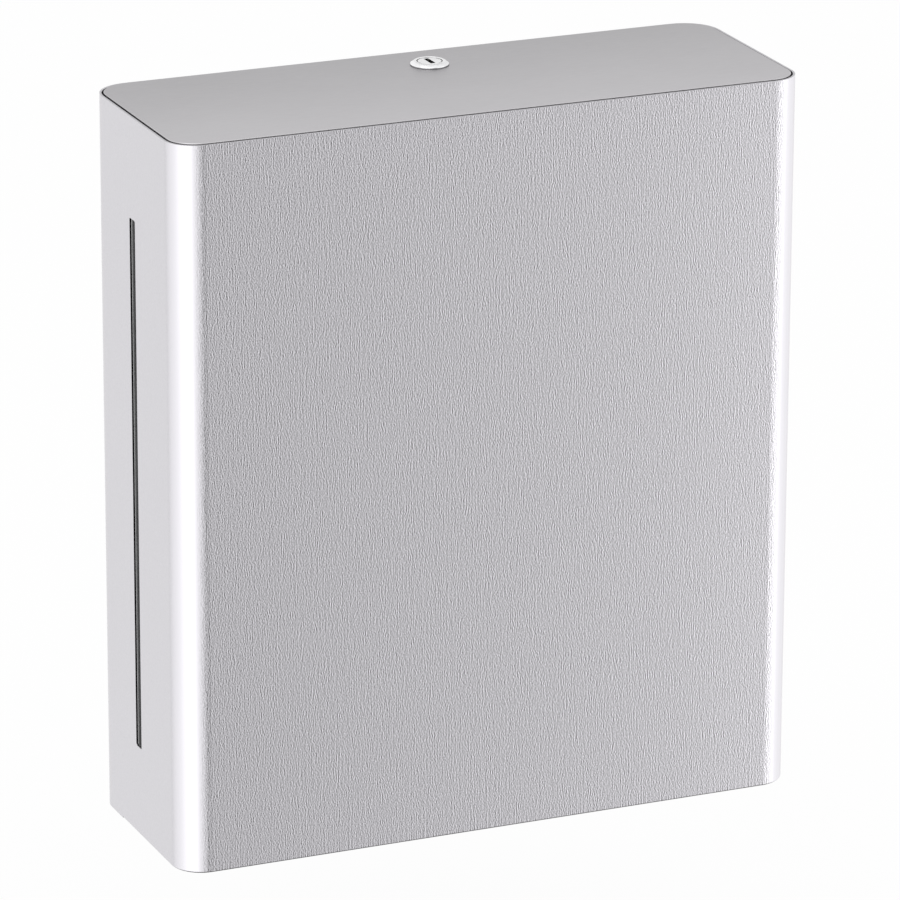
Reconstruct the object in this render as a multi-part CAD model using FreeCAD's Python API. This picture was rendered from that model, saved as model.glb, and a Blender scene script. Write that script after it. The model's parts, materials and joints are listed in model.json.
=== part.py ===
import FreeCAD, Part
import os
from math import cos, pi, sin, sqrt, tan

# Wall-mounted dispenser for folded paper towels, in millimetres.
# X runs to the right, Y towards the wall, Z up; the origin is the middle of the underside.
# A folded sheet cover swings forward and down on two pins at the bottom of a chassis
# that is screwed to the wall. A cam lock in the cover's top holds it shut.

# Cover sheet
width = 290.0
height = 325.0
depth = 104.0
wall_gap = 1.0
cover_sheet = 1.0
front_corner_r = 14.0
rear_corner_r = 16.0
rear_return_flat = 1.5
bottom_hem = 8.0
hem_fold = 0.6
hem_end_gap = 14.0

# Inside radius of every bend in the brackets, the chassis and the tray
bend_r = 0.8

# Level slot in each side
slot_width = 6.5
slot_bottom = 41.0
slot_top_gap = 45.0
slot_corner_r = 0.8

# Top plate, a shallow pan set inside the wrap
plate_proud = 0.5
plate_gap = 0.8
plate_edge_chamfer = 0.3
joggle_depth = 3.0
plate_flange = 14.0

# Cross bar that closes the back of the cover at the top
bar_sheet = 1.0
bar_below_flange = 2.0
bar_leg = 10.0

# Chassis on the wall
chassis_sheet = 1.2
chassis_clearance = 1.0
chassis_flange = 30.0
chassis_top_flange = 12.0
chassis_below_bar = 3.0
chassis_corner_r = 8.0
chassis_notch = 56.0
chassis_relief = 3.0

# Mounting slots in the chassis back
mount_side_gap = 31.5
mount_bottom = 48.0
mount_top_gap = 28.0
mount_slot_width = 5.5
mount_slot_length = 12.0

# Towel tray
tray_sheet = 1.0
tray_floor_z = 9.0
tray_front_gap = 3.0
tray_side_gap = 1.0
tray_side_height = 42.0
tray_front_height = 24.0
tray_rear_height = 30.0
tray_slope_start = 45.0
outlet_end_gap = 29.3
outlet_width = 42.0
outlet_end_flat = 5.8
outlet_centre_y = -3.0
outlet_rim_depth = 5.0
outlet_lip_chamfer = 0.6

# Hinge
hinge_wall_distance = 11.5
hinge_z = 4.5
hinge_pin_r = 2.0
hinge_play = 0.05
pin_head_r = 3.4
pin_head_t = 1.2
pin_end = 1.6
pin_chamfer = 0.4
spacer_t = 2.5
spacer_r = 3.8
spacer_play = 0.2
clip_t = 0.8
clip_r = 3.8
clip_play = 0.15
clip_groove_r = 1.5
lug_sheet = 1.5
lug_ear_r = 4.2
lug_web_distance = 9.0
lug_leg = 22.0
lug_height = 24.0
lug_floor_gap = 0.3

# Lock
lock_offset_x = 3.0
lock_from_rear = 24.0
flange_r = 8.5
flange_top_r = 6.7
flange_h = 1.8
flange_edge_h = 0.7
housing_r = 7.0
housing_flat = 6.2
housing_length = 18.0
housing_play = 0.1
plug_head_r = 5.6
plug_head_h = 2.4
plug_r = 4.8
plug_play = 0.05
plug_recess = 0.2
keyway_length = 8.2
keyway_width = 2.2
keyway_depth = 14.0
wafer_count = 5
wafer_pitch = 2.0
wafer_first = 3.4
wafer_t = 0.8
wafer_width = 6.0
wafer_length = 7.4
wafer_play = 0.05
wafer_window_wall = 0.5
wafer_window_play = 0.2
lock_washer_r = 10.0
lock_washer_t = 0.8
lock_washer_teeth = 12
lock_washer_notch = 1.4
nut_across_flats = 17.5
nut_t = 4.0

# Cam and its screw
cam_gap = 0.2
cam_t = 2.0
cam_width = 10.0
cam_length = 22.0
cam_square = 6.0
cam_square_play = 0.05
cam_washer_r = 5.0
cam_washer_t = 0.8
cam_screw_r = 2.0
cam_screw_length = 7.0
screw_head_r = 3.8
screw_head_h = 2.4
screw_socket_r = 1.6
screw_socket_depth = 1.4

# Strike for the cam
strike_sheet = 1.5
strike_side_gap = 2.5
strike_width = 16.0
strike_cam_gap = 0.8
strike_overlap = 2.7
strike_lip = 14.0
strike_leg = 16.0
strike_rivet_drop = 9.0
strike_rivet_edge = 4.0

# Rivets and buffers
rivet_r = 1.6
rivet_head_r = 3.0
rivet_head_h = 1.0
tray_rivet_count = 4
tray_rivet_end_gap = 25.0
buffer_r = 5.0
buffer_gap = 0.4
buffer_side_gap = 36.5
buffer_stem_r = 2.0

# Distance under which two places count as the same when edges are picked
touch = 0.01

# Planes worked out from the sizes above
y_wall = (depth + wall_gap) / 2
y_front = -y_wall
y_rear = y_wall - wall_gap
x_side = width / 2
y_plate_front = y_wall - chassis_sheet
y_tray_front = y_front + cover_sheet + tray_front_gap
z_plate_top = height + plate_proud
x_return_end = x_side - rear_corner_r - rear_return_flat
x_chassis = x_return_end - chassis_clearance
x_chassis_inside = x_chassis - chassis_sheet
x_tray = x_chassis_inside - tray_side_gap
z_bar_bottom = height - plate_flange - bar_below_flange
z_chassis_top = z_bar_bottom - chassis_below_bar
z_chassis_bend = z_chassis_top - chassis_sheet - bend_r
hinge_y = y_wall - hinge_wall_distance
lock_x = lock_offset_x
lock_y = y_rear - lock_from_rear
z_lock_top = z_plate_top + flange_h
z_housing_end = z_plate_top - housing_length
z_cam_top = z_housing_end - cam_gap
z_cam_bottom = z_cam_top - cam_t


def box(x0, x1, y0, y1, z0, z1):
    """Block between two opposite corners."""
    return Part.makeBox(x1 - x0, y1 - y0, z1 - z0, FreeCAD.Vector(x0, y0, z0))


def rod(radius, start, length, direction=(0, 0, 1)):
    """Round bar from its start point along a direction."""
    return Part.makeCylinder(radius, length, FreeCAD.Vector(*start), FreeCAD.Vector(*direction))


def polygon_prism(points, sweep):
    """Flat outline of 3-D points, swept along a vector."""
    corners = [FreeCAD.Vector(*p) for p in points]
    wire = Part.makePolygon(corners + [corners[0]])
    return Part.Face(wire).extrude(FreeCAD.Vector(*sweep))


def revolve(profile, centre_x, centre_y):
    """Turned solid from (radius, height) points, about a vertical axis."""
    points = [FreeCAD.Vector(centre_x + r, centre_y, z) for r, z in profile]
    face = Part.Face(Part.makePolygon(points + [points[0]]))
    return face.revolve(FreeCAD.Vector(centre_x, centre_y, 0), FreeCAD.Vector(0, 0, 1), 360)


def mirrored(shape):
    """The same piece on the other side of the middle plane."""
    return shape.mirror(FreeCAD.Vector(0, 0, 0), FreeCAD.Vector(1, 0, 0))


def rounded_prism(corners, sweep):
    """Flat outline of (point, radius) corners, swept along a vector; radius 0 keeps a corner sharp."""
    places = [FreeCAD.Vector(*point) for point, radius in corners]
    rounds = []
    for i, (point, radius) in enumerate(corners):
        here = places[i]
        back = (places[i - 1] - here).normalize()
        ahead = (places[(i + 1) % len(places)] - here).normalize()
        half_angle = back.getAngle(ahead) / 2
        reach = radius / tan(half_angle)
        middle = here + (back + ahead).normalize() * (radius / sin(half_angle) - radius)
        rounds.append((here + back * reach, middle, here + ahead * reach))
    edges = []
    for i, (start, middle, end) in enumerate(rounds):
        if corners[i][1] > 0:
            edges.append(Part.Arc(start, middle, end).toShape())
        edges.append(Part.makeLine(end, rounds[(i + 1) % len(rounds)][0]))
    return Part.Face(Part.Wire(edges)).extrude(FreeCAD.Vector(*sweep))


def folded_strip(path, thickness, sweep):
    """Sheet folded along a path of corners on one of its faces, with a bend at each inner corner.

    The sheet lies to the left of the path, seen against the sweep.
    """
    axis = FreeCAD.Vector(*sweep).normalize()
    points = [FreeCAD.Vector(*p) for p in path]
    runs = [(end - start).normalize() for start, end in zip(points, points[1:])]
    lefts = [axis.cross(run) for run in runs]
    near = [(points[0], 0)]
    far = [(points[0] + lefts[0] * thickness, 0)]
    for i in range(1, len(runs)):
        mitre = (lefts[i - 1] + lefts[i]) * (thickness / (1 + lefts[i - 1].dot(lefts[i])))
        inner, outer = bend_r, bend_r + thickness
        turns_left = runs[i - 1].cross(runs[i]).dot(axis) > 0
        near.append((points[i], outer if turns_left else inner))
        far.append((points[i] + mitre, inner if turns_left else outer))
    near.append((points[-1], 0))
    far.append((points[-1] + lefts[-1] * thickness, 0))
    return rounded_prism(near + far[::-1], sweep)


def plan_block(half, front, rear, z0, z1, front_r, rear_r):
    """Upright block, level in plan, with rounded corners at the front and at the rear."""
    corners = [((half, rear, z0), rear_r), ((-half, rear, z0), rear_r),
               ((-half, front, z0), front_r), ((half, front, z0), front_r)]
    return rounded_prism(corners, (0, 0, z1 - z0))


def cover_prism(inset, z0, z1):
    """The cover's plan outline, moved inwards by inset, as a solid between two heights."""
    return plan_block(x_side - inset, y_front + inset, y_rear - inset, z0, z1,
                      front_corner_r - inset, rear_corner_r - inset)


def edges_at_height(shape, z):
    """The edges of a shape that lie level at one height."""
    return [e for e in shape.Edges if all(abs(v.Z - z) < touch for v in e.Vertexes)]


def level_slot():
    """Cutter for one level slot, through the left side."""
    cutter = box(-x_side - cover_sheet, -x_side + 2 * cover_sheet,
                 -slot_width / 2, slot_width / 2,
                 slot_bottom, height - slot_top_gap)
    across = [e for e in cutter.Edges if abs(e.Vertexes[0].X - e.Vertexes[-1].X) > cover_sheet]
    return cutter.makeFillet(slot_corner_r, across)


def cover_wrap():
    """Front and sides from one sheet, returned round the rear corners, with a hem underneath."""
    y_hem_end = y_rear - rear_corner_r - hem_end_gap
    shell = cover_prism(0, 0, height).cut(cover_prism(cover_sheet, 0, height))
    shell = shell.cut(box(-x_return_end, x_return_end, y_rear - 2 * cover_sheet, y_wall, 0, height))
    hem = cover_prism(cover_sheet, 0, cover_sheet).cut(cover_prism(cover_sheet + bottom_hem, 0, cover_sheet))
    shell = shell.fuse(hem.cut(box(-x_side, x_side, y_hem_end, y_wall, 0, cover_sheet)))
    foot = cover_prism(0, 0, 2 * hem_fold)
    fold = foot.cut(foot.makeChamfer(hem_fold, edges_at_height(foot, 0)))
    shell = shell.cut(fold.cut(box(-x_side, x_side, y_hem_end, y_wall, 0, 2 * hem_fold)))
    return shell.cut(level_slot()).cut(mirrored(level_slot())).removeSplitter()


def housing_section(radius, flat, z0, z1):
    """Round barrel with two flats, as used for the lock body and its hole."""
    barrel = rod(radius, (lock_x, lock_y, z0), z1 - z0)
    return barrel.common(box(lock_x - flat, lock_x + flat, lock_y - radius, lock_y + radius, z0, z1))


def top_plate():
    """Pan with a joggled flange: the flange bears on the wrap, the top stands clear of it."""
    joggle_z = height - joggle_depth
    flange_z = height - plate_flange
    crown = cover_prism(cover_sheet + plate_gap, joggle_z, z_plate_top)
    crown = crown.makeChamfer(plate_edge_chamfer, edges_at_height(crown, z_plate_top))
    outside = crown.fuse(cover_prism(cover_sheet, flange_z, joggle_z))
    inside = cover_prism(2 * cover_sheet + plate_gap, joggle_z - cover_sheet, z_plate_top - cover_sheet)
    inside = inside.fuse(cover_prism(2 * cover_sheet, flange_z, joggle_z - cover_sheet))
    hole = housing_section(housing_r + housing_play, housing_flat + housing_play,
                           z_plate_top - 2 * cover_sheet, z_plate_top + cover_sheet)
    return outside.cut(inside).cut(hole).removeSplitter()


def cross_bar():
    """Angle between the two rear returns, welded to them and to the top plate's flange."""
    path = [(-x_return_end, y_rear - bar_leg, z_bar_bottom), (-x_return_end, y_rear, z_bar_bottom),
            (-x_return_end, y_rear, height)]
    return folded_strip(path, bar_sheet, (2 * x_return_end, 0, 0))


def back_plate():
    """Folded chassis: side flanges, a top flange notched for the cam, corner reliefs and screw slots."""
    front = y_wall - chassis_flange
    z_side_top = z_chassis_top - chassis_relief
    path = [(x_chassis, front, 0), (x_chassis, y_wall, 0), (-x_chassis, y_wall, 0), (-x_chassis, front, 0)]
    body = folded_strip(path, chassis_sheet, (0, 0, z_side_top))
    corners = [e for e in edges_at_height(body, z_side_top)
               if all(abs(v.Y - front) < touch for v in e.Vertexes)]
    body = body.makeFillet(chassis_corner_r, corners)
    half = x_chassis_inside - chassis_relief
    path = [(-half, y_wall, z_side_top - chassis_relief), (-half, y_wall, z_chassis_top),
            (-half, y_wall - chassis_top_flange, z_chassis_top)]
    body = body.fuse(folded_strip(path, chassis_sheet, (2 * half, 0, 0)))
    body = body.cut(box(lock_x - chassis_notch / 2, lock_x + chassis_notch / 2,
                        front, y_wall, z_chassis_bend, z_chassis_top))
    for x in (mount_side_gap - x_chassis, x_chassis - mount_side_gap):
        for z in (mount_bottom, z_chassis_top - mount_top_gap):
            body = body.cut(mount_slot(x, z))
    for x in (-x_chassis, x_chassis_inside):
        body = body.cut(rod(hinge_pin_r, (x, hinge_y, hinge_z), chassis_sheet, (1, 0, 0)))
    for x, z in strike_rivet_places() + tray_rivet_places():
        body = body.cut(rod(rivet_r, (x, y_plate_front, z), chassis_sheet, (0, 1, 0)))
    for x in (buffer_side_gap - x_chassis, x_chassis - buffer_side_gap):
        body = body.cut(rod(buffer_stem_r, (x, buffer_y(), z_chassis_top - chassis_sheet), chassis_sheet))
    return body.removeSplitter()


def mount_slot(x, z):
    """Cutter for one wall-screw slot, lying along X."""
    r = mount_slot_width / 2
    reach = mount_slot_length / 2 - r
    cutter = box(x - reach, x + reach, y_plate_front, y_wall, z - r, z + r)
    for end in (x - reach, x + reach):
        cutter = cutter.fuse(rod(r, (end, y_plate_front, z), chassis_sheet, (0, 1, 0)))
    return cutter.removeSplitter()


def tray_block(inset, z_top):
    """The tray's outline, moved inwards by inset, as a solid with a rounded bottom edge."""
    z = tray_floor_z + inset
    block = box(inset - x_tray, x_tray - inset, y_tray_front + inset, y_plate_front - inset, z, z_top)
    return block.makeFillet(bend_r + tray_sheet - inset, edges_at_height(block, z))


def outlet_block(wall):
    """The outlet in the tray floor, grown by a wall, with nearly round ends."""
    radius = (outlet_width - outlet_end_flat) / 2 + wall
    return plan_block(x_tray - outlet_end_gap + wall,
                      outlet_centre_y - outlet_width / 2 - wall, outlet_centre_y + outlet_width / 2 + wall,
                      tray_floor_z - outlet_rim_depth, tray_floor_z + tray_sheet, radius, radius)


def towel_tray():
    """Open tray with sloping side walls and a rimmed outlet in its floor."""
    top = tray_floor_z + tray_side_height
    tray = tray_block(0, top).cut(tray_block(tray_sheet, top))
    rear_top = tray_floor_z + tray_rear_height
    tray = tray.cut(box(tray_sheet - x_tray, x_tray - tray_sheet, y_plate_front - tray_sheet,
                        y_plate_front, rear_top, top))
    front_top = tray_floor_z + tray_front_height
    slope_end = y_tray_front + tray_slope_start
    slope = [(-x_tray, y_tray_front, front_top), (-x_tray, slope_end, top), (-x_tray, y_tray_front, top)]
    tray = tray.cut(polygon_prism(slope, (2 * x_tray, 0, 0)))
    tray = tray.fuse(outlet_block(tray_sheet)).cut(outlet_block(0)).removeSplitter()
    reach = x_tray - outlet_end_gap + tray_sheet / 2
    lip = [e for e in edges_at_height(tray, tray_floor_z + tray_sheet)
           if all(abs(v.X) <= reach for v in e.Vertexes)
           and all(abs(v.Y - outlet_centre_y) <= (outlet_width + tray_sheet) / 2 for v in e.Vertexes)]
    tray = tray.makeChamfer(outlet_lip_chamfer, lip)
    for x, z in tray_rivet_places():
        tray = tray.cut(rod(rivet_r, (x, y_plate_front - tray_sheet, z), tray_sheet, (0, 1, 0)))
    return tray


def tray_rivet_places():
    """Rivets in an even row along the tray's rear wall."""
    z = tray_floor_z + tray_rear_height / 2
    reach = x_tray - tray_rivet_end_gap
    pitch = 2 * reach / (tray_rivet_count - 1)
    return [(i * pitch - reach, z) for i in range(tray_rivet_count)]


def rivet(x, z, grip):
    """Flush at the wall, with its flat head on the inside of the plates it grips."""
    head_y = y_wall - grip
    shank = rod(rivet_r, (x, head_y, z), grip, (0, 1, 0))
    head = rod(rivet_head_r, (x, head_y - rivet_head_h, z), rivet_head_h, (0, 1, 0))
    return shank.fuse(head)


def tray_rivets():
    grip = chassis_sheet + tray_sheet
    return Part.makeCompound([rivet(x, z, grip) for x, z in tray_rivet_places()])


def strike_span():
    """Left and right ends of the strike, beside the lock body."""
    left = lock_x + housing_r + strike_side_gap
    return left, left + strike_width


def strike_base_z():
    return z_cam_bottom + strike_overlap - strike_lip


def strike_plate():
    """Bent bracket with an upturned lip in front of the locked cam."""
    left, right = strike_span()
    lip_back = lock_y - cam_width / 2 - strike_cam_gap
    z = strike_base_z()
    path = [(left, y_plate_front, z - strike_leg), (left, y_plate_front, z),
            (left, lip_back, z), (left, lip_back, z + strike_lip)]
    plate = folded_strip(path, strike_sheet, (right - left, 0, 0))
    for x, rivet_z in strike_rivet_places():
        hole = rod(rivet_r, (x, y_plate_front - strike_sheet, rivet_z), strike_sheet, (0, 1, 0))
        plate = plate.cut(hole)
    return plate


def strike_rivet_places():
    """Two rivets side by side in the strike's leg."""
    left, right = strike_span()
    z = strike_base_z() - strike_rivet_drop
    return [(left + strike_rivet_edge, z), (right - strike_rivet_edge, z)]


def strike_rivets():
    grip = chassis_sheet + strike_sheet
    return Part.makeCompound([rivet(x, z, grip) for x, z in strike_rivet_places()])


def hinge_stack():
    """Faces along the left hinge, from the middle outwards, as distances from the middle plane."""
    spacer_end = x_chassis + spacer_t
    ear_start = spacer_end + spacer_play
    ear_end = ear_start + lug_sheet
    clip_start = ear_end + clip_play
    return spacer_end, ear_start, ear_end, clip_start


def hinge_pin():
    """Left hinge pin: its head lies inside the chassis flange and its groove takes the clip."""
    clip_start = hinge_stack()[3]
    end = clip_start + clip_t + pin_end
    centre = (-end, hinge_y, hinge_z)
    pin = rod(hinge_pin_r, centre, end - x_chassis_inside, (1, 0, 0))
    tip = [e for e in pin.Edges if all(v.X < -end + pin_end / 2 for v in e.Vertexes)]
    pin = pin.makeChamfer(pin_chamfer, tip[:1])
    head = rod(pin_head_r, (-x_chassis_inside, hinge_y, hinge_z), pin_head_t, (1, 0, 0))
    groove = rod(hinge_pin_r * 2, (-clip_start - clip_t, hinge_y, hinge_z), clip_t, (1, 0, 0))
    groove = groove.cut(rod(clip_groove_r, (-clip_start - clip_t, hinge_y, hinge_z), clip_t, (1, 0, 0)))
    return pin.cut(groove).fuse(head).removeSplitter()


def hinge_clip():
    """Left retaining clip, a ring with a mouth that faces down, in the pin's groove."""
    clip_start = hinge_stack()[3]
    start = (-clip_start - clip_t, hinge_y, hinge_z)
    ring = rod(clip_r, start, clip_t, (1, 0, 0)).cut(rod(clip_groove_r, start, clip_t, (1, 0, 0)))
    mouth = box(-clip_start - clip_t, -clip_start, hinge_y - clip_groove_r, hinge_y + clip_groove_r,
                hinge_z - 2 * clip_r, hinge_z)
    return ring.cut(mouth)


def hinge_washer():
    """Left spacer between the chassis flange and the cover's lug."""
    spacer_end = hinge_stack()[0]
    ring = rod(spacer_r, (-spacer_end, hinge_y, hinge_z), spacer_t, (1, 0, 0))
    return ring.cut(rod(hinge_pin_r, (-spacer_end, hinge_y, hinge_z), spacer_t, (1, 0, 0)))


def hinge_lug():
    """Left lug: a Z-shaped bracket from the wrap's side to an ear on the hinge pin."""
    spacer_end, ear_start, ear_end, clip_start = hinge_stack()
    x_wrap = x_side - cover_sheet
    web_back = hinge_y - lug_web_distance
    arm_start = web_back + bend_r
    bottom = cover_sheet + lug_floor_gap
    top = bottom + lug_height
    path = [(-ear_end, arm_start + touch, bottom), (-ear_end, web_back, bottom),
            (-x_wrap, web_back, bottom), (-x_wrap, web_back - lug_leg, bottom)]
    bracket = folded_strip(path, lug_sheet, (0, 0, lug_height))
    arm = polygon_prism([(-ear_end, arm_start, hinge_z - lug_ear_r), (-ear_end, arm_start, top),
                         (-ear_end, hinge_y, hinge_z + lug_ear_r), (-ear_end, hinge_y, hinge_z - lug_ear_r)],
                        (lug_sheet, 0, 0))
    ear = rod(lug_ear_r, (-ear_end, hinge_y, hinge_z), lug_sheet, (1, 0, 0))
    hole = rod(hinge_pin_r + hinge_play, (-ear_end, hinge_y, hinge_z), lug_sheet, (1, 0, 0))
    return bracket.fuse([arm, ear]).cut(hole).removeSplitter()


def buffer_y():
    """Middle of the flat part of the chassis top flange."""
    return (y_wall - chassis_top_flange + y_plate_front - bend_r) / 2


def buffer(x):
    """Rubber button on the chassis top flange, under the cover's cross bar."""
    stem = rod(buffer_stem_r, (x, buffer_y(), z_chassis_top - 2 * chassis_sheet), 2 * chassis_sheet)
    head = rod(buffer_r, (x, buffer_y(), z_chassis_top), z_bar_bottom - buffer_gap - z_chassis_top)
    return stem.fuse(head)


def lock_housing():
    """Turned lock body with a bevelled flange, two flats and a stepped bore for the plug."""
    seat_z = z_lock_top - plug_head_h
    flange = revolve([(0, z_plate_top), (flange_r, z_plate_top), (flange_r, z_plate_top + flange_edge_h),
                      (flange_top_r, z_lock_top), (0, z_lock_top)], lock_x, lock_y)
    body = flange.fuse(housing_section(housing_r, housing_flat, z_housing_end, z_plate_top))
    bore = rod(plug_r + plug_play, (lock_x, lock_y, z_housing_end), z_lock_top - z_housing_end)
    seat = rod(plug_head_r + plug_play, (lock_x, lock_y, seat_z), plug_head_h)
    return body.cut(bore).cut(seat).removeSplitter()


def lock_washer():
    """Toothed washer between the top plate and the nut, drawn with its teeth flat."""
    z = z_plate_top - cover_sheet - lock_washer_t
    points = []
    for i in range(2 * lock_washer_teeth):
        radius = lock_washer_r - lock_washer_notch * (i % 2)
        angle = i * pi / lock_washer_teeth
        points.append((lock_x + radius * cos(angle), lock_y + radius * sin(angle), z))
    washer = polygon_prism(points, (0, 0, lock_washer_t))
    return washer.cut(rod(housing_r + housing_play, (lock_x, lock_y, z), lock_washer_t))


def lock_nut():
    """Hexagon nut on the lock body."""
    z = z_plate_top - cover_sheet - lock_washer_t - nut_t
    corner_r = nut_across_flats / sqrt(3)
    points = [(lock_x + corner_r * cos(i * pi / 3), lock_y + corner_r * sin(i * pi / 3), z) for i in range(6)]
    nut = polygon_prism(points, (0, 0, nut_t))
    return nut.cut(rod(housing_r + housing_play, (lock_x, lock_y, z), nut_t))


def wafer_levels():
    """Underside of each wafer, from the top down."""
    return [z_lock_top - plug_head_h - wafer_first - i * wafer_pitch for i in range(wafer_count)]


def lock_plug():
    """Turning plug: head, keyway, pockets for the wafers and a square end for the cam."""
    top = z_lock_top - plug_recess
    seat_z = z_lock_top - plug_head_h
    plug = rod(plug_r, (lock_x, lock_y, z_cam_top), seat_z - z_cam_top)
    plug = plug.fuse(rod(plug_head_r, (lock_x, lock_y, seat_z), top - seat_z))
    half = cam_square / 2
    plug = plug.fuse(box(lock_x - half, lock_x + half, lock_y - half, lock_y + half, z_cam_bottom, z_cam_top))
    keyway = box(lock_x - keyway_width / 2, lock_x + keyway_width / 2,
                 lock_y - keyway_length / 2, lock_y + keyway_length / 2, top - keyway_depth, top)
    plug = plug.cut(keyway)
    for z in wafer_levels():
        plug = plug.cut(wafer_block(z - wafer_play, wafer_play))
    screw_hole = rod(cam_screw_r, (lock_x, lock_y, z_cam_bottom), cam_screw_length)
    return plug.cut(screw_hole).removeSplitter()


def wafer_block(z, play):
    """Outline of a wafer, grown by a play on every side."""
    half_w, half_l = wafer_width / 2 + play, wafer_length / 2 + play
    return box(lock_x - half_w, lock_x + half_w, lock_y - half_l, lock_y + half_l,
               z, z + wafer_t + 2 * play)


def lock_wafers():
    """Thin plates in the plug, each with a window for the key."""
    window_w = keyway_width / 2 + wafer_window_play
    window_l = wafer_length / 2 - wafer_window_wall
    wafers = []
    for z in wafer_levels():
        window = box(lock_x - window_w, lock_x + window_w, lock_y - window_l, lock_y + window_l, z, z + wafer_t)
        wafers.append(wafer_block(z, 0).cut(window))
    return Part.makeCompound(wafers)


def lock_cam():
    """Flat arm that points to the wall when unlocked and to the right when locked."""
    half = cam_width / 2
    tip_y = lock_y + cam_length - half
    arm = box(lock_x - half, lock_x + half, lock_y, tip_y, z_cam_bottom, z_cam_top)
    ends = [rod(half, (lock_x, y, z_cam_bottom), cam_t) for y in (lock_y, tip_y)]
    arm = arm.fuse(ends)
    hole = cam_square / 2 + cam_square_play
    return arm.cut(box(lock_x - hole, lock_x + hole, lock_y - hole, lock_y + hole,
                       z_cam_bottom, z_cam_top)).removeSplitter()


def cam_washer():
    z = z_cam_bottom - cam_washer_t
    washer = rod(cam_washer_r, (lock_x, lock_y, z), cam_washer_t)
    return washer.cut(rod(cam_screw_r, (lock_x, lock_y, z), cam_washer_t))


def cam_screw():
    """Cheese-head screw up into the plug's end, with a hexagon socket."""
    z = z_cam_bottom - cam_washer_t
    shank = rod(cam_screw_r, (lock_x, lock_y, z), cam_washer_t + cam_screw_length)
    head = rod(screw_head_r, (lock_x, lock_y, z - screw_head_h), screw_head_h)
    points = [(lock_x + screw_socket_r * cos(i * pi / 3), lock_y + screw_socket_r * sin(i * pi / 3),
               z - screw_head_h) for i in range(6)]
    socket = polygon_prism(points, (0, 0, screw_socket_depth))
    return shank.fuse(head).cut(socket).removeSplitter()


nodes = {
    "cover_wrap": cover_wrap(),
    "top_plate": top_plate(),
    "cross_bar": cross_bar(),
    "hinge_lug_left": hinge_lug(),
    "hinge_lug_right": mirrored(hinge_lug()),
    "lock_housing": lock_housing(),
    "lock_washer": lock_washer(),
    "lock_nut": lock_nut(),
    "lock_plug": lock_plug(),
    "lock_wafers": lock_wafers(),
    "lock_cam": lock_cam(),
    "cam_washer": cam_washer(),
    "cam_screw": cam_screw(),
    "back_plate": back_plate(),
    "towel_tray": towel_tray(),
    "tray_rivets": tray_rivets(),
    "strike_plate": strike_plate(),
    "strike_rivets": strike_rivets(),
    "hinge_pin_left": hinge_pin(),
    "hinge_pin_right": mirrored(hinge_pin()),
    "hinge_clip_left": hinge_clip(),
    "hinge_clip_right": mirrored(hinge_clip()),
    "hinge_washer_left": hinge_washer(),
    "hinge_washer_right": mirrored(hinge_washer()),
    "buffer_left": buffer(buffer_side_gap - x_chassis),
    "buffer_right": buffer(x_chassis - buffer_side_gap),
}

os.makedirs("parts", exist_ok=True)
for name, shape in nodes.items():
    shape.exportStep("parts/" + name + ".step")
    bounds = shape.optimalBoundingBox()
    print(name, "valid" if shape.isValid() else "INVALID", len(shape.Solids), "solids",
          "volume %.1f" % shape.Volume,
          "x %.2f..%.2f y %.2f..%.2f z %.2f..%.2f" % (bounds.XMin, bounds.XMax, bounds.YMin,
                                                      bounds.YMax, bounds.ZMin, bounds.ZMax))
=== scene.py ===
import json
import math
import bpy
from mathutils import Matrix, Vector

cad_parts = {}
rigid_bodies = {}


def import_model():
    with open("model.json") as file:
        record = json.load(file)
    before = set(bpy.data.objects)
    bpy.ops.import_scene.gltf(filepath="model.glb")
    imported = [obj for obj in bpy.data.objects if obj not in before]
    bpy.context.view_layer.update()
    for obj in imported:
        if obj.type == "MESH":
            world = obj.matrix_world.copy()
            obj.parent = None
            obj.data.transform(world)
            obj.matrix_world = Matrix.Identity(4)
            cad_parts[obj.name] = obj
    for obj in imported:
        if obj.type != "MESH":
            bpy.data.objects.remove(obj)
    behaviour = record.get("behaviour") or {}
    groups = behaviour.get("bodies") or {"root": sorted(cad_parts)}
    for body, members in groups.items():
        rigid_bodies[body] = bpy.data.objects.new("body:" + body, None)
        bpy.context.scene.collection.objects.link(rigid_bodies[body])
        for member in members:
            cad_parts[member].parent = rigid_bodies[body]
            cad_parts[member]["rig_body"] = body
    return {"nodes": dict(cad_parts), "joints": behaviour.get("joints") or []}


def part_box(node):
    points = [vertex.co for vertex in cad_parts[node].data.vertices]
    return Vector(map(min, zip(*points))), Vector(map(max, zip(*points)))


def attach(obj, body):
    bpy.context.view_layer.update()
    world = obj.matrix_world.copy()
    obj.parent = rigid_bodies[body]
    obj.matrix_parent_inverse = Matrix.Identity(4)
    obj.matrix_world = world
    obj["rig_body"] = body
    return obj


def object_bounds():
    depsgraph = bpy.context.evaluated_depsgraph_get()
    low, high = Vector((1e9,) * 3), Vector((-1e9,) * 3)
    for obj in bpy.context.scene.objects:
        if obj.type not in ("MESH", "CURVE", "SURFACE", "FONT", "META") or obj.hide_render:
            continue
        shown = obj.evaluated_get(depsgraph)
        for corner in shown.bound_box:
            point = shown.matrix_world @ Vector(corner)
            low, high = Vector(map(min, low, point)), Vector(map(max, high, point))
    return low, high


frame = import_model()
nodes = frame["nodes"]
cad_low, cad_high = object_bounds()

MM = 0.001

# Studio: floor side, its gap below the opened cover, its colour, the share of it that is plain white
# to the eye, and the sky's light
FLOOR_SIZE = 30.0
FLOOR_CLEARANCE = 2 * MM
FLOOR_WHITE = 0.95
FLOOR_GLOW = 0.93
SKY_LEVEL = 0.9

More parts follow.
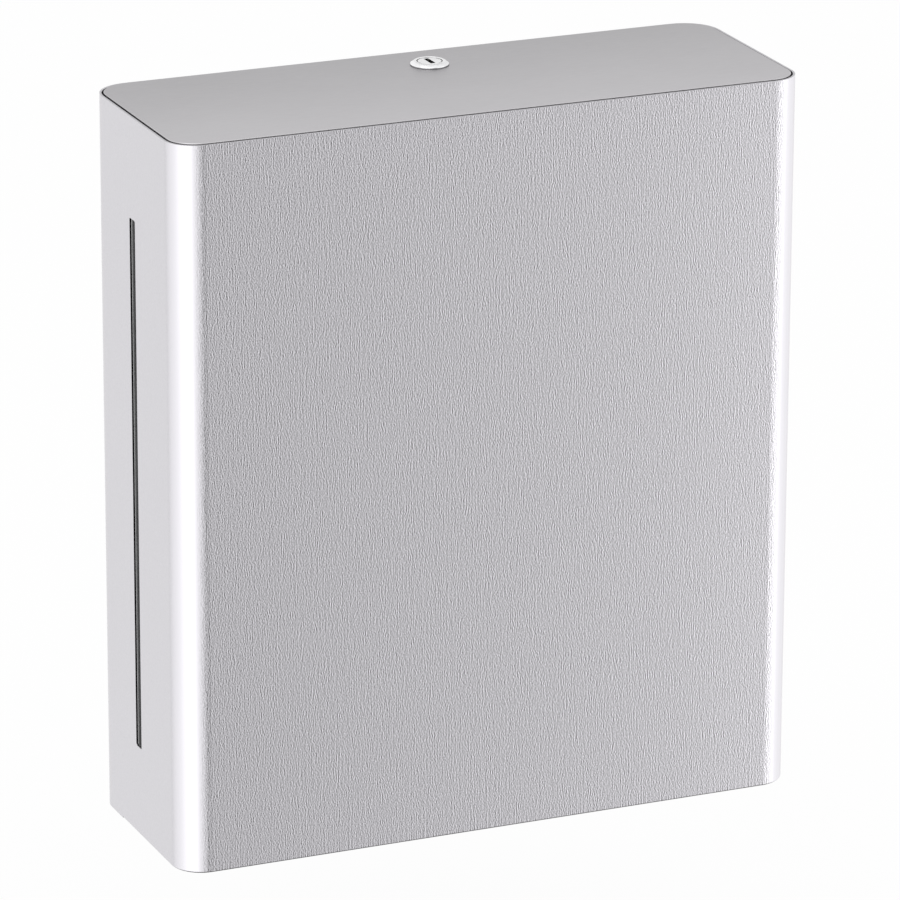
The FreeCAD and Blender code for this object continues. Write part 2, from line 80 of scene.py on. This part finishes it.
# Camera, fitted to the photograph's outline: the photograph's side and the focal length in its pixels,
# the sensor's width in millimetres, and how far the camera sees, in metres
PHOTO_SIZE = 900
SENSOR = 36.0
CAMERA_REACH = 100.0
FOCAL_PIXELS = 6413.0
CAMERA_PLACE = Vector((-1.0425, -2.4405, 1.0567))
CAMERA_YAW = math.radians(23.16)
CAMERA_PITCH = math.radians(-18.70)
CAMERA_ROLL = math.radians(0.20)

# Brushed strokes on the cover: their width, and (length, share of the contrast), in millimetres
STROKE_WIDTH = 0.5
STROKES = [(0.9, 0.50), (2.4, 0.36), (12.0, 0.20)]
# Finer grain among them: its size along each axis in millimetres, and its share
SPECKLE = (0.31, 0.33, 0.6)
SPECKLE_SHARE = 0.42
# In strokes: distance to what a stroke is set off from, a shift off the grid, and the scatter along it
STROKE_STEP = 0.9
STROKE_PHASE = 0.37
STROKE_SCATTER = 41.0
# How squarely the sheet faces front or back where the grain starts to grow and where it is full, and how
# much of it is left on the sides
GRAIN_FACING = (0.9, 0.998)
SIDE_GRAIN = 0.07
# Brightness of the darkest and lightest grain against the sheet's, and the grain levels that reach them
GRAIN_TONES = (0.28, 1.72)
GRAIN_ENDS = (0.22, 0.78)
# Painted shade in the gap round the lock's plug, a dark line: its inner and outer radius, thickness and
# sides
GAP_INNER = 5.2 * MM
GAP_OUTER = 5.75 * MM
GAP_DEPTH = 0.02 * MM
GAP_SIDES = 72
# Painted highlight on the cover's bends: their brightness against its flats, and where it
# starts and is full: the product of the normal's parts along X and Y, which is 0.5 in a bend's middle
BEND_HIGHLIGHT = 1.4
BEND_HIGHLIGHT_ENDS = (0.14, 0.44)
# Sheet thickness of the cover, the slack in finding its cut edges, how far an edge faces front or back,
# and how much of the sheet's brightness the cut edges keep, as painted shade on them and in the level slots
SHEET = 1.0 * MM
EDGE_SLACK = 0.02 * MM
EDGE_FACING = 0.7
CUT_EDGE_SHADE = 0.25

# Painted light and shade on the top plate: its brightness at the front and at the wall, where 0.5 is that of
# the plain sheet, how far its grain moves it, and the darkest and lightest tone against the sheet's
TOP_FRONT_LIGHT = 0.80
TOP_REAR_SHADE = 0.21
TOP_GRAIN = 0.35
TOP_TONES = (0.8, 1.2)

# Levels between which most of a noise lies, and between which a material's colour and roughness change
NOISE_LOW = 0.3
NOISE_HIGH = 0.7

# Packed facets: distance within which corners are one, and angle within which faces are one flat
WELD_WITHIN = 0.0005 * MM
FLAT_WITHIN = math.radians(0.3)
# Edge rounding: steps, the angle from which an edge counts as sharp, and the width for each kind of piece
ROUNDING_STEPS = 2
SHARP_FROM = math.radians(35)
ROUNDING = {"cover": 0.15 * MM, "sheet": 0.12 * MM, "fastener": 0.08 * MM, "lock": 0.25 * MM,
            "wafer": 0.05 * MM, "nylon": 0.1 * MM, "rubber": 0.2 * MM}

# What the metal mirrors round the object: (azimuth in degrees, level). 0 is in front, 90 to the right.
SURROUND = [(-180, 1.10), (-157, 1.19), (-137, 1.22), (-87, 1.15), (-60, 1.27), (-34, 1.33), (-9, 1.14),
            (4, 0.80), (16, 0.57), (25, 0.93), (33, 1.36), (60, 1.27), (110, 1.10), (140, 0.95), (157, 0.97),
            (180, 1.10)]
# How much of that level is left at each elevation in degrees
FADE = [(-90, 0.12), (-60, 0.20), (-40, 0.75), (-28, 1.0), (-5, 1.0), (15, 0.9), (50, 0.85), (90, 1.0)]
# How much of it is left for rays that have been mirrored more often, as in the gaps and the inside
FIRST_DEPTH = 2
LAST_DEPTH = 4
DEEP_SHARE = 0.1


class Graph:
    """A node tree, with short calls that add and link its nodes."""

    def __init__(self, owner, shader):
        owner.use_nodes = True
        self.owner = owner
        self.tree = owner.node_tree
        self.shader = self.tree.nodes[shader]

    def add(self, kind, **settings):
        node = self.tree.nodes.new(kind)
        for key, value in settings.items():
            setattr(node, key, value)
        return node

    def link(self, source, target):
        self.tree.links.new(source, target)

    def set(self, **values):
        for key, value in values.items():
            self.shader.inputs[key.replace("_", " ")].default_value = value

    def coordinates(self, scale):
        """Object coordinates multiplied by a scale in each axis."""
        place = self.add("ShaderNodeTexCoord")
        mapping = self.add("ShaderNodeMapping")
        mapping.inputs["Scale"].default_value = scale
        self.link(place.outputs["Object"], mapping.inputs["Vector"])
        return mapping.outputs["Vector"]

    def noise(self, scale, detail):
        """A noise about 0.5 in object coordinates."""
        node = self.add("ShaderNodeTexNoise")
        node.inputs["Scale"].default_value = 1.0
        node.inputs["Detail"].default_value = detail
        node.inputs["Roughness"].default_value = 0.5
        self.link(self.coordinates(scale), node.inputs["Vector"])
        return node.outputs["Fac"]

    def math(self, operation, first, second=None):
        """A sum, product or the like, of sockets or plain numbers."""
        node = self.add("ShaderNodeMath", operation=operation)
        for socket, value in zip(node.inputs, (first, second)):
            if value is None:
                continue
            if isinstance(value, (int, float)):
                socket.default_value = value
            else:
                self.link(value, socket)
        return node.outputs[0]

    def remap(self, value, low, high, to_low, to_high):
        """A value moved from one range to another."""
        node = self.add("ShaderNodeMapRange")
        self.link(value, node.inputs["Value"])
        for name, number in zip(("From Min", "From Max", "To Min", "To Max"), (low, high, to_low, to_high)):
            node.inputs[name].default_value = number
        return node.outputs["Result"]

    def separate(self, vector):
        node = self.add("ShaderNodeSeparateXYZ")
        self.link(vector, node.inputs["Vector"])
        return node

    def ramp(self, value, dark, light, low=0.0, high=1.0):
        """A colour between two, as the value goes from low to high."""
        node = self.add("ShaderNodeValToRGB")
        node.color_ramp.elements[0].position = low
        node.color_ramp.elements[0].color = (*dark, 1)
        node.color_ramp.elements[1].position = high
        node.color_ramp.elements[1].color = (*light, 1)
        self.link(value, node.inputs["Fac"])
        return node.outputs["Color"]

    def mixed(self, share, colour, other):
        """A linked colour, turned by a share into another fixed one, on the node's colour sockets."""
        node = self.add("ShaderNodeMix", data_type="RGBA")
        self.link(share, node.inputs["Factor"])
        self.link(colour, node.inputs[6])
        node.inputs[7].default_value = (*other, 1)
        return node.outputs[2]

    def finish(self, level, dark, light, rough, smooth):
        """Colour and roughness that follow a noise: dark and rough where it is low."""
        self.link(self.ramp(level, dark, light, NOISE_LOW, NOISE_HIGH), self.shader.inputs["Base Color"])
        self.link(self.remap(level, NOISE_LOW, NOISE_HIGH, rough, smooth), self.shader.inputs["Roughness"])

    def bump(self, height, strength, distance):
        node = self.add("ShaderNodeBump")
        node.inputs["Strength"].default_value = strength
        node.inputs["Distance"].default_value = distance
        self.link(height, node.inputs["Height"])
        self.link(node.outputs["Normal"], self.shader.inputs["Normal"])


def new_material(name):
    return Graph(bpy.data.materials.new(name), "Principled BSDF")


def per_mm(x, y, z):
    """Texture scale from the size of one grain in millimetres along each axis."""
    return (1 / (x * MM), 1 / (y * MM), 1 / (z * MM))


def scaled(colour, factor):
    return tuple(min(1.0, channel * factor) for channel in colour)


def upright_strokes(g, place, length):
    """Fine upright strokes about 0: each is lighter or darker than what is just beside it."""
    def sample(shift):
        across = g.math("ADD", g.math("MULTIPLY", place.outputs["X"], 1 / (STROKE_WIDTH * MM)), shift)
        deep = g.math("ADD", g.math("MULTIPLY", place.outputs["Y"], 1 / (STROKE_WIDTH * MM)), STROKE_PHASE)
        column = g.add("ShaderNodeTexWhiteNoise", noise_dimensions="1D")
        g.link(g.math("FLOOR", across), column.inputs["W"])
        along = g.math("MULTIPLY", place.outputs["Z"], 1 / (length * MM))
        along = g.math("ADD", along, g.math("MULTIPLY", column.outputs["Value"], STROKE_SCATTER))
        vector = g.add("ShaderNodeCombineXYZ")
        for socket, value in zip(vector.inputs, (across, deep, along)):
            g.link(value, socket)
        node = g.add("ShaderNodeTexNoise")
        node.inputs["Scale"].default_value = 1.0
        node.inputs["Detail"].default_value = 0.0
        g.link(vector.outputs["Vector"], node.inputs["Vector"])
        return node.outputs["Fac"]
    beside = g.math("ADD", sample(-STROKE_STEP), sample(STROKE_STEP))
    return g.math("SUBTRACT", sample(0.0), g.math("MULTIPLY", beside, 0.5))


def brushed_cover():
    """Stainless sheet brushed upright: plainer on the sides, with a painted highlight at the bends and
    painted shade on its cut edges.
    """
    g = new_material("brushed_cover")
    base = (0.545, 0.535, 0.56)
    place = g.separate(g.add("ShaderNodeTexCoord").outputs["Object"])
    grain = 0.0
    for length, share in STROKES:
        grain = g.math("ADD", g.math("MULTIPLY", upright_strokes(g, place, length), share), grain)
    speckle = g.math("SUBTRACT", g.noise(per_mm(*SPECKLE), detail=0.0), 0.5)
    grain = g.math("ADD", g.math("MULTIPLY", speckle, SPECKLE_SHARE), grain)
    normal = g.separate(g.add("ShaderNodeNewGeometry").outputs["Normal"])
    front_back = g.math("ABSOLUTE", normal.outputs["Y"])
    facing = g.remap(front_back, *GRAIN_FACING, SIDE_GRAIN, 1.0)
    level = g.math("ADD", g.math("MULTIPLY", grain, facing), 0.5)
    off_centre = g.math("ABSOLUTE", place.outputs["X"])
    # Painted shade: the side walls' cut edges that face front or back, in the level slots and at the rear,
    # are darkened
    in_side_wall = g.math("GREATER_THAN", off_centre, cad_high.x - SHEET - EDGE_SLACK)
    cut_edge_shade = g.math("MULTIPLY", in_side_wall, g.math("GREATER_THAN", front_back, EDGE_FACING))
    dark, light = (scaled(base, share) for share in GRAIN_TONES)
    sheet = g.ramp(level, dark, light, *GRAIN_ENDS)
    # Painted highlight: the base colour is brightened in the bends, where the normal turns between front and
    # side
    bend = g.math("MULTIPLY", front_back, g.math("ABSOLUTE", normal.outputs["X"]))
    bend_highlight = g.remap(bend, *BEND_HIGHLIGHT_ENDS, 0.0, 1.0)
    highlighted = g.mixed(bend_highlight, sheet, scaled(base, BEND_HIGHLIGHT))
    g.link(g.mixed(cut_edge_shade, highlighted, scaled(base, CUT_EDGE_SHADE)), g.shader.inputs["Base Color"])
    g.link(g.remap(level, NOISE_LOW, NOISE_HIGH, 0.31, 0.27), g.shader.inputs["Roughness"])
    g.set(Metallic=1.0)
    return g.owner


def satin_top():
    """The same sheet on the top plate: the grain runs across and hardly shows, and painted light and shade
    make it lighter at the front and darker at the rear.
    """
    g = new_material("satin_top")
    # A darker base than the cover's, though the sheet is the same: painted shade on the top
    base = (0.50, 0.49, 0.505)
    strokes = g.noise(per_mm(6.0, 0.5, 6.0), detail=2.0)
    cloud = g.noise(per_mm(60.0, 40.0, 60.0), detail=2.0)
    level = g.math("ADD", g.math("MULTIPLY", strokes, 0.6), g.math("MULTIPLY", cloud, 0.4))
    depth = g.separate(g.add("ShaderNodeTexCoord").outputs["Object"]).outputs["Y"]
    # Painted light and shade: the colour is lighter at the front and darker towards the wall
    painted_fade = g.remap(depth, cad_low.y, cad_high.y, TOP_FRONT_LIGHT, TOP_REAR_SHADE)
    tone = g.math("ADD", g.math("MULTIPLY", g.math("SUBTRACT", level, 0.5), TOP_GRAIN), painted_fade)
    dark, light = (scaled(base, share) for share in TOP_TONES)
    g.link(g.ramp(tone, dark, light), g.shader.inputs["Base Color"])
    g.link(g.remap(level, NOISE_LOW, NOISE_HIGH, 0.42, 0.36), g.shader.inputs["Roughness"])
    g.bump(strokes, 0.08, 0.01 * MM)
    g.set(Metallic=1.0)
    return g.owner


def mill_sheet():
    """Unpolished sheet inside: faint rolling lines and clouds."""
    g = new_material("mill_sheet")
    lines = g.noise(per_mm(90.0, 1.1, 1.1), detail=3.0)
    cloud = g.noise(per_mm(35.0, 35.0, 35.0), detail=4.0)
    level = g.math("ADD", g.math("MULTIPLY", lines, 0.55), g.math("MULTIPLY", cloud, 0.45))
    g.finish(level, (0.36, 0.36, 0.365), (0.50, 0.50, 0.505), 0.46, 0.3)
    g.bump(lines, 0.12, 0.02 * MM)
    g.set(Metallic=1.0)
    return g.owner


def slot_shade_sheet():
    """Dark grey sheet on the back plate: painted shade, which makes the slot look dark from outside."""
    g = new_material("slot_shade_sheet")
    crystals = g.noise(per_mm(0.7, 0.7, 0.7), detail=3.0)
    cloud = g.noise(per_mm(45.0, 45.0, 45.0), detail=4.0)
    level = g.math("ADD", g.math("MULTIPLY", crystals, 0.7), g.math("MULTIPLY", cloud, 0.3))
    # Painted shade: the near-black colour stands in for the shade inside the slot
    g.finish(level, (0.07, 0.072, 0.075), (0.13, 0.132, 0.136), 0.52, 0.38)
    g.bump(crystals, 0.12, 0.03 * MM)
    g.set(Metallic=0.85)
    return g.owner


def bright_zinc():
    """Zinc-plated steel of rivets, pins, clips, washers, the nut, the cam and its screw."""
    g = new_material("bright_zinc")
    spangle = g.noise(per_mm(1.6, 1.6, 1.6), detail=3.0)
    g.finish(spangle, (0.52, 0.54, 0.56), (0.70, 0.71, 0.72), 0.36, 0.24)
    g.bump(spangle, 0.08, 0.02 * MM)
    g.set(Metallic=1.0)
    return g.owner


def polished_chrome():
    """Chrome plate on the lock, with hazy patches."""
    g = new_material("polished_chrome")
    haze = g.noise(per_mm(3.0, 3.0, 3.0), detail=3.0)
    g.finish(haze, (0.86, 0.86, 0.87), (0.94, 0.94, 0.95), 0.14, 0.07)
    g.set(Metallic=1.0)
    return g.owner


def stamped_brass():
    """Stained brass of the wafers in the lock."""
    g = new_material("stamped_brass")
    stain = g.noise(per_mm(0.9, 0.9, 0.9), detail=3.0)
    g.finish(stain, (0.52, 0.36, 0.13), (0.78, 0.60, 0.28), 0.42, 0.26)
    g.set(Metallic=1.0)
    return g.owner


def natural_nylon():
    """Undyed nylon of the hinge washers."""
    g = new_material("natural_nylon")
    mottle = g.noise(per_mm(1.2, 1.2, 1.2), detail=2.0)
    g.finish(mottle, (0.70, 0.68, 0.60), (0.82, 0.80, 0.73), 0.5, 0.42)
    g.set(Subsurface_Weight=0.1)
    return g.owner


def black_rubber():
    """Dull black rubber of the buffers."""
    g = new_material("black_rubber")
    bloom = g.noise(per_mm(0.8, 0.8, 0.8), detail=4.0)
    g.finish(bloom, (0.018, 0.018, 0.019), (0.045, 0.045, 0.046), 0.75, 0.6)
    g.bump(bloom, 0.2, 0.03 * MM)
    return g.owner


def refine(node, rounding):
    """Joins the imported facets, rounds the sharp edges a little and evens the shading."""
    weld = node.modifiers.new("weld", "WELD")
    weld.merge_threshold = WELD_WITHIN
    flatten = node.modifiers.new("flatten", "DECIMATE")
    flatten.decimate_type = "DISSOLVE"
    flatten.angle_limit = FLAT_WITHIN
    edge = node.modifiers.new("edge", "BEVEL")
    edge.width = rounding
    edge.segments = ROUNDING_STEPS
    edge.limit_method = "ANGLE"
    edge.angle_limit = SHARP_FROM
    edge.use_clamp_overlap = True
    shade = node.modifiers.new("shade", "WEIGHTED_NORMAL")
    shade.mode = "FACE_AREA"
    shade.weight = 100
    for polygon in node.data.polygons:
        polygon.use_smooth = True


def dress(material, kind, *names):
    """Gives CAD nodes their material and the fine edge rounding of their kind."""
    for name in names:
        node = nodes[name]
        node.data.materials.clear()
        node.data.materials.append(material)
        refine(node, ROUNDING[kind])


def dress_all():
    """One material and one kind of edge for each group of CAD nodes."""
    dress(brushed_cover(), "cover", "cover_wrap")
    dress(satin_top(), "sheet", "top_plate")
    dress(mill_sheet(), "sheet", "cross_bar", "hinge_lug_left", "hinge_lug_right",
          "towel_tray", "strike_plate")
    dress(slot_shade_sheet(), "sheet", "back_plate")
    dress(bright_zinc(), "fastener", "tray_rivets", "strike_rivets", "hinge_pin_left", "hinge_pin_right",
          "hinge_clip_left", "hinge_clip_right", "lock_washer", "lock_nut", "lock_cam", "cam_washer",
          "cam_screw")
    dress(polished_chrome(), "lock", "lock_housing", "lock_plug")
    dress(stamped_brass(), "wafer", "lock_wafers")
    dress(natural_nylon(), "nylon", "hinge_washer_left", "hinge_washer_right")
    dress(black_rubber(), "rubber", "buffer_left", "buffer_right")


def painted_gap_shade():
    """Painted shade in the gap round the plug: near-black with a faint mottle."""
    g = new_material("painted_gap_shade")
    shade_mottle = g.noise(per_mm(0.5, 0.5, 0.5), detail=3.0)
    g.finish(shade_mottle, (0.012, 0.012, 0.012), (0.05, 0.048, 0.046), 0.6, 0.45)
    return g.owner


def plug_gap_shade():
    """Flat dark ring of painted shade that lies on the rim of the plug, in the gap to the lock's housing."""
    plug_low, plug_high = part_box("lock_plug")
    housing_low, housing_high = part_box("lock_housing")
    centre_x = (plug_low.x + plug_high.x) / 2
    centre_y = (housing_low.y + housing_high.y) / 2
    rim = plug_high.z
    section = [(GAP_INNER, rim), (GAP_OUTER, rim), (GAP_OUTER, rim + GAP_DEPTH),
               (GAP_INNER + GAP_DEPTH, rim + GAP_DEPTH)]
    points = []
    for i in range(GAP_SIDES):
        turn = 2 * math.pi * i / GAP_SIDES
        points += [(centre_x + r * math.cos(turn), centre_y + r * math.sin(turn), z) for r, z in section]
    corners = len(section)
    faces = []
    for i in range(GAP_SIDES):
        this, following = i * corners, (i + 1) % GAP_SIDES * corners
        for k in range(corners):
            after = (k + 1) % corners
            faces.append((this + k, following + k, following + after, this + after))
    mesh = bpy.data.meshes.new("plug_gap_shade")
    mesh.from_pydata(points, [], faces)
    # The ring's near-black colour is painted shade in the gap
    mesh.materials.append(painted_gap_shade())
    ring = bpy.data.objects.new("plug_gap_shade", mesh)
    bpy.context.scene.collection.objects.link(ring)
    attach(ring, nodes["lock_housing"]["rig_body"])


def share_of_rays(g, *kinds):
    """1 for the named kinds of ray, 0 for the others."""
    path = g.add("ShaderNodeLightPath")
    total = path.outputs[kinds[0]]
    for kind in kinds[1:]:
        total = g.math("MAXIMUM", total, path.outputs[kind])
    return total


def floor():
    """White floor with a faint shadow, as low as the opened cover, and clear from below."""
    hinge = next(joint["pos_m"] for joint in frame["joints"] if joint["name"] == "cover_hinge")
    lowest = hinge[2] - (hinge[1] - cad_low.y) - FLOOR_CLEARANCE
    bpy.ops.mesh.primitive_plane_add(size=FLOOR_SIZE, location=(0, 0, lowest))
    plane = bpy.context.object
    plane.name = "floor"
    plane.visible_glossy = False
    g = new_material("white_floor")
    g.set(Base_Color=(FLOOR_WHITE, FLOOR_WHITE, FLOOR_WHITE, 1), Roughness=1.0, Specular_IOR_Level=0.0)
    glow = g.add("ShaderNodeEmission")
    glow.inputs["Strength"].default_value = 1.0
    mix = g.add("ShaderNodeMixShader")
    g.link(g.math("MULTIPLY", share_of_rays(g, "Is Camera Ray", "Is Transmission Ray"), FLOOR_GLOW),
           mix.inputs["Fac"])
    g.link(g.shader.outputs[0], mix.inputs[1])
    g.link(glow.outputs[0], mix.inputs[2])
    from_below = g.add("ShaderNodeMixShader")
    g.link(g.add("ShaderNodeNewGeometry").outputs["Backfacing"], from_below.inputs["Fac"])
    g.link(mix.outputs[0], from_below.inputs[1])
    g.link(g.add("ShaderNodeBsdfTransparent").outputs[0], from_below.inputs[2])
    g.link(from_below.outputs[0], g.tree.nodes["Material Output"].inputs["Surface"])
    plane.data.materials.append(g.owner)


def profile(g, angle, stops, half_turn):
    """A level that changes smoothly with an angle, from (degrees, level) stops."""
    place = g.remap(angle, -math.radians(half_turn), math.radians(half_turn), 0.0, 1.0)
    node = g.add("ShaderNodeValToRGB")
    node.color_ramp.interpolation = "EASE"
    points = node.color_ramp.elements
    peak = max(level for _, level in stops)
    for i, (degrees, level) in enumerate(stops):
        at = (degrees + half_turn) / (2 * half_turn)
        if i == 0:
            point = points[0]
        elif i == len(stops) - 1:
            point = points[-1]
        else:
            point = points.new(at)
        point.position = at
        point.color = (level / peak,) * 3 + (1,)
    g.link(place, node.inputs["Fac"])
    return g.math("MULTIPLY", node.outputs["Color"], peak)


def world():
    """Pale surroundings: even light on the object, white to the eye, and soft shades in the metal."""
    g = Graph(bpy.data.worlds.new("studio"), "Background")
    split = g.separate(g.add("ShaderNodeTexCoord").outputs["Generated"])
    azimuth = g.math("ARCTAN2", split.outputs["X"], g.math("MULTIPLY", split.outputs["Y"], -1.0))
    elevation = g.math("ARCSINE", split.outputs["Z"])
    mirrored = g.math("MULTIPLY", profile(g, azimuth, SURROUND, 180), profile(g, elevation, FADE, 90))
    depth = g.add("ShaderNodeLightPath").outputs["Ray Depth"]
    mirrored = g.math("MULTIPLY", mirrored, g.remap(depth, FIRST_DEPTH, LAST_DEPTH, 1.0, DEEP_SHARE))
    seen = share_of_rays(g, "Is Camera Ray", "Is Transmission Ray")
    plain = g.remap(seen, 0.0, 1.0, SKY_LEVEL, 1.0)
    mix = g.add("ShaderNodeMix")
    g.link(share_of_rays(g, "Is Glossy Ray"), mix.inputs["Factor"])
    g.link(plain, mix.inputs["A"])
    g.link(mirrored, mix.inputs["B"])
    g.link(mix.outputs["Result"], g.shader.inputs["Strength"])
    g.shader.inputs["Color"].default_value = (1, 1, 1, 1)
    bpy.context.scene.world = g.owner


def softbox(name, target, azimuth, elevation, distance, size, watts):
    """Area lamp that faces a point. Azimuth 0 stands in front, 90 to the right."""
    lamp = bpy.data.lights.new(name, "AREA")
    lamp.shape = "RECTANGLE"
    lamp.size, lamp.size_y = size
    lamp.energy = watts
    holder = bpy.data.objects.new(name, lamp)
    holder.visible_camera = False
    turn = math.radians(azimuth)
    rise = math.radians(elevation)
    away = Vector((math.sin(turn) * math.cos(rise), -math.cos(turn) * math.cos(rise), math.sin(rise)))
    holder.location = Vector(target) + away * distance
    holder.rotation_euler = away.to_track_quat("Z", "Y").to_euler()
    bpy.context.scene.collection.objects.link(holder)


def lamps():
    """A broad lamp from the upper left, and an upright strip beside each front corner."""
    middle = (cad_low + cad_high) / 2
    left_corner = (cad_low.x, cad_low.y, 0)
    right_corner = (cad_high.x, cad_low.y, 0)
    softbox("top_box", middle, azimuth=-60, elevation=70, distance=1.8, size=(1.4, 1.4), watts=5)
    softbox("left_strip", left_corner, azimuth=-59, elevation=0, distance=0.45, size=(0.54, 1.0), watts=0.35)
    softbox("right_strip", right_corner, azimuth=50, elevation=0, distance=0.45, size=(0.36, 1.0), watts=0.5)


def camera():
    """The photograph's viewpoint: front left, looking down, with a long lens."""
    data = bpy.data.cameras.new("camera")
    data.sensor_width = SENSOR
    data.lens = FOCAL_PIXELS / PHOTO_SIZE * SENSOR
    data.clip_end = CAMERA_REACH
    holder = bpy.data.objects.new("camera", data)
    flat = math.cos(CAMERA_PITCH)
    forward = Vector((math.sin(CAMERA_YAW) * flat, math.cos(CAMERA_YAW) * flat, math.sin(CAMERA_PITCH)))
    level_right = Vector((math.cos(CAMERA_YAW), -math.sin(CAMERA_YAW), 0))
    level_up = level_right.cross(forward)
    right = level_right * math.cos(CAMERA_ROLL) + level_up * math.sin(CAMERA_ROLL)
    up = right.cross(forward)
    axes = Matrix((right, up, -forward)).transposed()
    holder.matrix_world = Matrix.Translation(CAMERA_PLACE) @ axes.to_4x4()
    bpy.context.scene.collection.objects.link(holder)
    bpy.context.scene.camera = holder


dress_all()
plug_gap_shade()
floor()
world()
lamps()
camera()

bpy.context.scene.view_settings.view_transform = "Standard"
